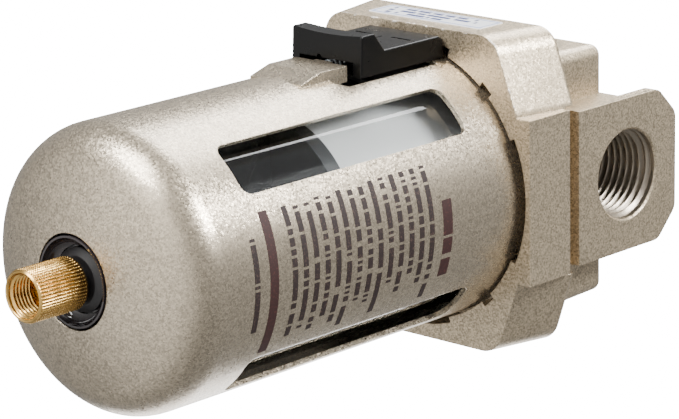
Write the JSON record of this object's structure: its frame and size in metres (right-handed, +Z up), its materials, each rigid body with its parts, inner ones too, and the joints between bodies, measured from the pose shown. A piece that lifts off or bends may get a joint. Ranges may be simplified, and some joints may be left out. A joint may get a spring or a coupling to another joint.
{
  "type": "compressed air filter",
  "caption": "Modular compressed air filter: ported die-cast head, clear bowl in a windowed steel guard with a bayonet lock button, knurled drain knob below.",
  "frame": {"origin": "centre of the inlet port's mouth, on the ports' axis", "axes": "+X along the air flow from the inlet to the outlet, +Z up from the drain towards the top of the head, -Y to the front with the lock button and label"},
  "size_m": [0.07, 0.0765, 0.1724],
  "materials": {
    "head_paint": "champagne metallic paint on die-cast aluminium",
    "guard_paint": "champagne metallic paint on steel",
    "label_film": "printed film",
    "clear_bowl": "clear moulded polycarbonate",
    "seal_rubber": "moulded nitrile",
    "black_resin": "moulded",
    "element_white": "bonded fibre",
    "zinc_steel": "zinc plated",
    "black_nylon": "moulded nylon",
    "spring_steel": "drawn wire",
    "brass": "turned and knurled"
  },
  "bodies": {
    "head": {"head_body": "head_paint", "head_label": "label_film", "deflector_gasket": "seal_rubber", "swirl_deflector": "black_resin", "element_top_seal": "seal_rubber", "filter_element": "element_white", "element_bottom_seal": "seal_rubber", "baffle": "black_resin", "bolt_washer": "zinc_steel", "centre_bolt": "zinc_steel"},
    "bowl_assembly": {"bowl_guard": "guard_paint", "bowl": "clear_bowl", "bowl_o_ring": "seal_rubber", "lock_spring": "spring_steel", "drain_body": "black_resin", "drain_gasket": "seal_rubber", "drain_nut": "brass"},
    "lock": {"lock_button": "black_nylon", "lock_clip": "black_nylon"},
    "drain_valve": {"drain_stem": "brass", "valve_seal": "seal_rubber", "knob_ring": "spring_steel"},
    "knob": {"drain_knob": "brass"}
  },
  "joints": [
    {"name": "bowl_turn", "type": "hinge", "parent": "head", "child": "bowl_assembly", "pos_m": [0.035, 0, -0.08], "axis": [0, 0, 1], "range_deg": [0, 46]},
    {"name": "lock_slide", "type": "slide", "parent": "bowl_assembly", "child": "lock", "axis": [0, 0, -1], "range_m": [0, 0.006], "stiffness_N_per_m": 400, "springref_m": -0.004, "deforming": ["lock_spring"]},
    {"name": "drain_lift", "type": "slide", "parent": "bowl_assembly", "child": "drain_valve", "axis": [0, 0, 1], "range_m": [0, 0.0015]},
    {"name": "drain_turn", "type": "hinge", "parent": "drain_valve", "child": "knob", "pos_m": [0.035, 0, -0.148], "axis": [0, 0, 1], "range_deg": [0, 270]}
  ],
  "couplings": [
    {"joint": "lock_slide", "follows": "bowl_turn", "m_per_rad": 0.00747},
    {"joint": "drain_turn", "follows": "drain_lift", "rad_per_m": 3141.6}
  ]
}
